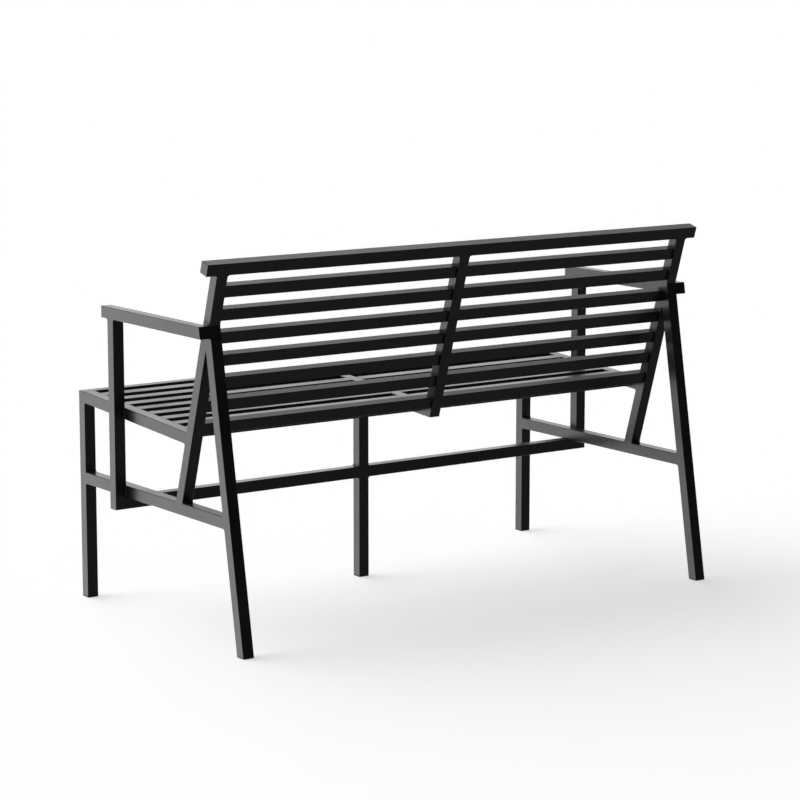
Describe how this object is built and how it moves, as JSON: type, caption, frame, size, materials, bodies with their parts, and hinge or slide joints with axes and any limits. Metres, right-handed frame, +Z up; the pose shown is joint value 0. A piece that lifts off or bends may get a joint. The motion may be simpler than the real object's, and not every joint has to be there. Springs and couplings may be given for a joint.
{
  "type": "outdoor dining bench",
  "caption": "Backed outdoor bench for a dining table: welded square-tube frame, flat slats across seat and back, open armrests, splayed rear legs and a middle foot.",
  "frame": {"origin": "on the floor, under the middle of the bounding box", "axes": "+Z up; the seat faces -Y and the back leans toward +Y; +X is the right end seen from the front"},
  "size_m": [1.25, 0.6578, 0.7816],
  "materials": {
    "frame": "black powder coat, fine matt texture, over aluminium tube",
    "glide": "black moulded plastic, satin"
  },
  "bodies": {
    "root": {"arm_upright_left": "frame", "arm_upright_right": "frame", "armrest_end_plates": "frame", "armrest_left": "frame", "armrest_right": "frame", "back_slat_1_left": "frame", "back_slat_1_right": "frame", "back_slat_2_left": "frame", "back_slat_2_right": "frame", "back_slat_3_left": "frame", "back_slat_3_right": "frame", "back_slat_4_left": "frame", "back_slat_4_right": "frame", "back_slat_5_left": "frame", "back_slat_5_right": "frame", "back_slat_6_left": "frame", "back_slat_6_right": "frame", "back_slat_7_left": "frame", "back_slat_7_right": "frame", "back_stile_left": "frame", "back_stile_right": "frame", "centre_welds": "frame", "foot_glides": "glide", "front_leg_left": "frame", "front_leg_right": "frame", "front_seat_rail": "frame", "leg_top_plates": "frame", "lower_side_rail_left": "frame", "lower_side_rail_right": "frame", "middle_back_stile": "frame", "middle_foot": "frame", "middle_post": "frame", "middle_seat_rib": "frame", "middle_stile_plate": "frame", "rear_leg_left": "frame", "rear_leg_right": "frame", "seat_side_rail_left": "frame", "seat_side_rail_right": "frame", "seat_slat_1_left": "frame", "seat_slat_1_right": "frame", "seat_slat_2_left": "frame", "seat_slat_2_right": "frame", "seat_slat_3_left": "frame", "seat_slat_3_right": "frame", "seat_slat_4_left": "frame", "seat_slat_4_right": "frame", "seat_slat_5_left": "frame", "seat_slat_5_right": "frame", "seat_slat_6_left": "frame", "seat_slat_6_right": "frame", "seat_slat_7_left": "frame", "seat_slat_7_right": "frame", "seat_slat_8_left": "frame", "seat_slat_8_right": "frame", "side_frame_welds_left": "frame", "side_frame_welds_right": "frame", "stretcher": "frame", "top_rail": "frame", "top_rail_end_plates": "frame"}
  },
  "joints": []
}
